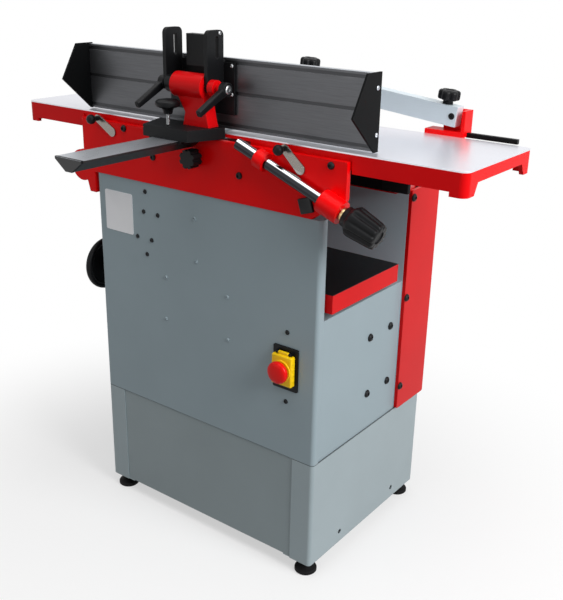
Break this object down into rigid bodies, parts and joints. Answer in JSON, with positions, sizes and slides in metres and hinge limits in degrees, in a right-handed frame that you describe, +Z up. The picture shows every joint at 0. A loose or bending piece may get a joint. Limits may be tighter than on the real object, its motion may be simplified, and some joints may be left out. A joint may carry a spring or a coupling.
{
  "type": "combination planer thicknesser",
  "caption": "Floor-standing planer thicknesser: planing tables with tilting fence and bridge guard over a lifting thicknesser table, on a sheet steel cabinet.",
  "frame": {"origin": "floor level, under the middle of the overall box", "axes": "+X along the planing tables towards the infeed end, -Y towards the fence's guide bar, +Z up"},
  "size_m": [1.085, 0.744, 1.1],
  "materials": {
    "pale_paint": "satin",
    "grey_paint": "satin",
    "red_paint": "gloss",
    "table_iron": "painted sides, ground top",
    "bed_iron": "painted sides, dark top",
    "black_paint": "satin",
    "wheel_paint": "satin",
    "black_plastic": "fine grain",
    "yellow_plastic": "gloss",
    "red_plastic": "gloss",
    "chrome_steel": "polished",
    "ground_steel": "ground",
    "dark_steel": "blackened",
    "brass_ring": "turned",
    "bar_aluminium": "satin",
    "fence_aluminium": "anodised, brushed",
    "rubber_foot": "matte",
    "belt_rubber": "matte"
  },
  "bodies": {
    "frame": {"plinth_ends": "pale_paint", "plinth_sides": "pale_paint", "levelling_feet": "rubber_foot", "base_plate": "grey_paint", "panel_near": "grey_paint", "panel_far": "grey_paint", "cover_front": "grey_paint", "cover_rear": "grey_paint", "chamber_wall": "grey_paint", "drive_column": "red_paint", "belt_cover": "red_paint", "casting_near": "red_paint", "casting_far": "red_paint", "outfeed_table": "table_iron", "guide_rod": "chrome_steel", "depth_collar": "brass_ring", "cutter_bearings": "ground_steel", "motor_body": "black_paint", "drive_belt": "belt_rubber", "lift_bridge": "grey_paint", "casting_bolts": "dark_steel", "panel_screws": "dark_steel", "panel_rivets": "ground_steel", "end_screws": "dark_steel", "switch_plate": "black_plastic", "guide_bar": "bar_aluminium"},
    "cutter": {"cutter_block": "ground_steel", "knives": "ground_steel", "cutter_pulley": "dark_steel"},
    "motor_rotor": {"motor_pulley": "dark_steel"},
    "front_roller": {"roller_front": "ground_steel"},
    "rear_roller": {"roller_rear": "ground_steel"},
    "height_wheel": {"handwheel": "wheel_paint"},
    "wheel_grip": {"handwheel_grip": "black_plastic"},
    "height_nut": {"lift_nut": "dark_steel"},
    "height_table": {"thicknesser_table": "bed_iron", "lift_column": "ground_steel", "lift_screw": "ground_steel"},
    "depth_dial": {"depth_knob": "black_plastic"},
    "infeed": {"infeed_table": "table_iron", "guard_bracket": "red_paint"},
    "left_clamp": {"lever_left": "chrome_steel", "lever_left_ball": "black_plastic"},
    "right_clamp": {"lever_right": "chrome_steel", "lever_right_ball": "black_plastic"},
    "lid": {"switch_lid": "yellow_plastic"},
    "stop": {"stop_button": "red_plastic"},
    "carriage": {"carriage_plate": "black_paint", "fence_head": "red_paint"},
    "fence": {"fence_plate": "fence_aluminium", "fence_caps": "black_plastic", "fence_mount": "black_paint"},
    "left_handle": {"tilt_handle_left": "black_plastic"},
    "right_handle": {"tilt_handle_right": "black_plastic"},
    "slide_knob": {"carriage_knob": "black_plastic"},
    "bar_clamp": {"bar_knob": "black_plastic"},
    "guard": {"guard_arm": "bar_aluminium"},
    "blade": {"guard_blade": "bar_aluminium"},
    "guard_clamp_arm": {"guard_knob_arm": "black_plastic"},
    "guard_clamp_blade": {"guard_knob_blade": "black_plastic"}
  },
  "joints": [
    {"name": "cutter_spin", "type": "hinge", "parent": "frame", "child": "cutter", "pos_m": [0, 0.07, 0.877], "axis": [0, 1, 0], "continuous": true},
    {"name": "motor_spin", "type": "hinge", "parent": "frame", "child": "motor_rotor", "pos_m": [0.15, 0.26, 0.38], "axis": [0, 1, 0], "continuous": true},
    {"name": "front_roller_spin", "type": "hinge", "parent": "frame", "child": "front_roller", "pos_m": [0.075, 0.07, 0.855], "axis": [0, 1, 0], "continuous": true},
    {"name": "rear_roller_spin", "type": "hinge", "parent": "frame", "child": "rear_roller", "pos_m": [-0.075, 0.07, 0.855], "axis": [0, 1, 0], "continuous": true},
    {"name": "wheel_turn", "type": "hinge", "parent": "frame", "child": "height_wheel", "pos_m": [-0.367, -0.009, 0.553], "axis": [1, 0, 0], "range_deg": [0, 13969]},
    {"name": "grip_spin", "type": "hinge", "parent": "height_wheel", "child": "wheel_grip", "pos_m": [-0.4, 0.038, 0.553], "axis": [1, 0, 0], "continuous": true},
    {"name": "nut_turn", "type": "hinge", "parent": "frame", "child": "height_nut", "pos_m": [-0.022, -0.009, 0.51], "axis": [0, 0, 1], "range_deg": [0, 13969]},
    {"name": "height_slide", "type": "slide", "parent": "frame", "child": "height_table", "axis": [0, 0, 1], "range_m": [0, 0.194]},
    {"name": "depth_turn", "type": "hinge", "parent": "frame", "child": "depth_dial", "pos_m": [0.305, -0.083, 0.822], "axis": [0.9336, 0, -0.3584], "range_deg": [0, 2344.96]},
    {"name": "infeed_slide", "type": "slide", "parent": "frame", "child": "infeed", "axis": [0.9336, 0, -0.3584], "range_m": [0, 0.00977]},
    {"name": "left_clamp_turn", "type": "hinge", "parent": "frame", "child": "left_clamp", "pos_m": [-0.26, -0.07, 0.88], "axis": [0, 1, 0], "range_deg": [0, 55]},
    {"name": "right_clamp_turn", "type": "hinge", "parent": "frame", "child": "right_clamp", "pos_m": [0.225, -0.07, 0.874], "axis": [0, 1, 0], "range_deg": [0, 55]},
    {"name": "lid_open", "type": "hinge", "parent": "frame", "child": "lid", "pos_m": [0.202, -0.075, 0.509], "axis": [-1, 0, 0], "range_deg": [0, 100]},
    {"name": "stop_press", "type": "slide", "parent": "lid", "child": "stop", "axis": [0, 1, 0], "range_m": [0, 0.004], "stiffness_N_per_m": 800, "springref_m": -0.001},
    {"name": "carriage_slide", "type": "slide", "parent": "frame", "child": "carriage", "axis": [0, -1, 0], "range_m": [0, 0.2]},
    {"name": "fence_tilt", "type": "hinge", "parent": "carriage", "child": "fence", "pos_m": [-0.024, -0.077, 0.998], "axis": [1, 0, 0], "range_deg": [0, 45]},
    {"name": "left_handle_turn", "type": "hinge", "parent": "carriage", "child": "left_handle", "pos_m": [-0.097, -0.077, 0.998], "axis": [-1, 0, 0], "range_deg": [0, 60]},
    {"name": "right_handle_turn", "type": "hinge", "parent": "carriage", "child": "right_handle", "pos_m": [0.058, -0.077, 0.998], "axis": [-1, 0, 0], "range_deg": [0, 60]},
    {"name": "slide_knob_turn", "type": "hinge", "parent": "carriage", "child": "slide_knob", "pos_m": [-0.06, -0.108, 0.94], "axis": [0, 0, 1], "range_deg": [0, 720]},
    {"name": "bar_clamp_turn", "type": "hinge", "parent": "frame", "child": "bar_clamp", "pos_m": [-0.024, -0.08, 0.86], "axis": [0, 1, 0], "range_deg": [0, 720]},
    {"name": "guard_swing", "type": "hinge", "parent": "infeed", "child": "guard", "pos_m": [0.376, 0.218, 0.952], "axis": [0, 1, 0], "range_deg": [-6, 50]},
    {"name": "blade_slide", "type": "slide", "parent": "guard", "child": "blade", "axis": [0, 1, 0], "range_m": [0, 0.15]},
    {"name": "guard_knob_arm_turn", "type": "hinge", "parent": "guard", "child": "guard_clamp_arm", "pos_m": [0.36008, 0.2185, 0.97278], "axis": [0.1045, 0, 0.9945], "range_deg": [0, 720]},
    {"name": "guard_knob_blade_turn", "type": "hinge", "parent": "guard", "child": "guard_clamp_blade", "pos_m": [0.03587, 0.2185, 1.00685], "axis": [0.1045, 0, 0.9945], "range_deg": [0, 720]}
  ],
  "couplings": [
    {"joint": "motor_spin", "follows": "cutter_spin", "ratio": 0.5},
    {"joint": "front_roller_spin", "follows": "cutter_spin", "ratio": -0.01},
    {"joint": "rear_roller_spin", "follows": "cutter_spin", "ratio": -0.01},
    {"joint": "wheel_turn", "follows": "height_slide", "rad_per_m": 1256.6},
    {"joint": "nut_turn", "follows": "height_slide", "rad_per_m": 1256.6},
    {"joint": "depth_turn", "follows": "infeed_slide", "rad_per_m": 4188.8}
  ]
}
